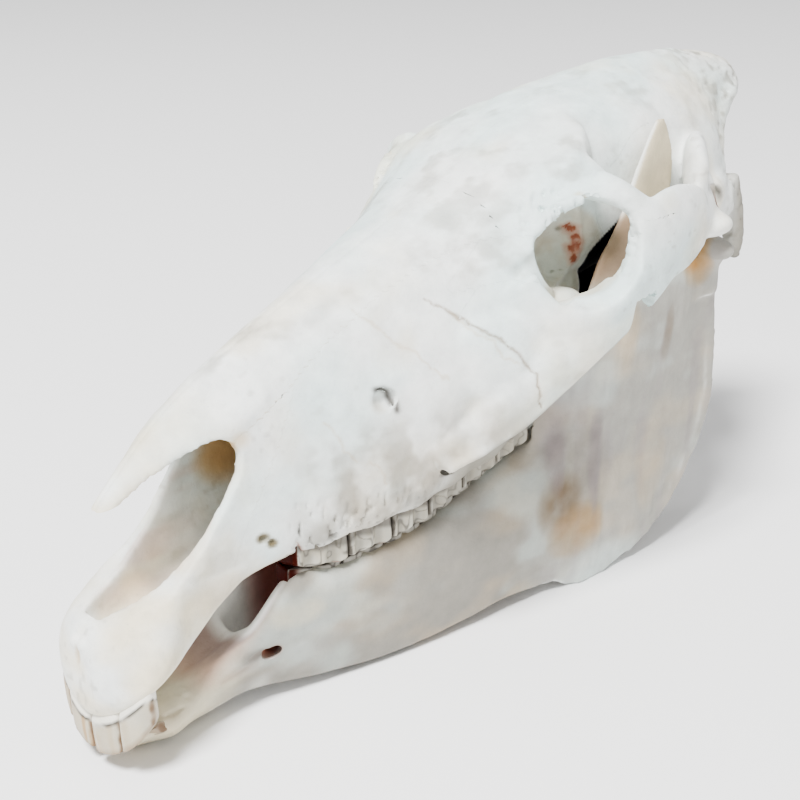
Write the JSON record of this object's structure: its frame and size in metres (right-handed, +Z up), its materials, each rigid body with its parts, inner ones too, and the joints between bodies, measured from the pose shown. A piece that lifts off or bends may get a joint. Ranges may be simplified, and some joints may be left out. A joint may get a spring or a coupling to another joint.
{
  "type": "zebra skull",
  "caption": "Cleaned, bleached skull of a plains zebra with its lower jaw closed, parted into its bones along the sutures; it rests on its chin and jaw angles.",
  "frame": {"origin": "on the floor, at the middle of the skull's length and width", "axes": "+Z up, the nose points to -Y, +X is the animal's left side"},
  "size_m": [0.1896, 0.4793, 0.2802],
  "materials": {
    "cranium_bone": "cleaned and bleached bone, matt and finely porous",
    "toothed_bone": "cleaned and bleached bone with cream, worn teeth",
    "jaw_bone": "bleached bone, a little greyer, with brown stains"
  },
  "bodies": {
    "root": {"braincase": "cranium_bone", "occipital": "cranium_bone", "temporal_left": "cranium_bone", "temporal_right": "cranium_bone", "nasal_left": "cranium_bone", "nasal_right": "cranium_bone", "zygomatic_left": "cranium_bone", "zygomatic_right": "cranium_bone", "lacrimal_left": "cranium_bone", "lacrimal_right": "cranium_bone", "frontal_left": "cranium_bone", "frontal_right": "cranium_bone", "premaxilla": "toothed_bone", "maxilla_left": "toothed_bone", "maxilla_right": "toothed_bone", "mandible_left": "jaw_bone", "mandible_right": "jaw_bone"}
  },
  "joints": []
}
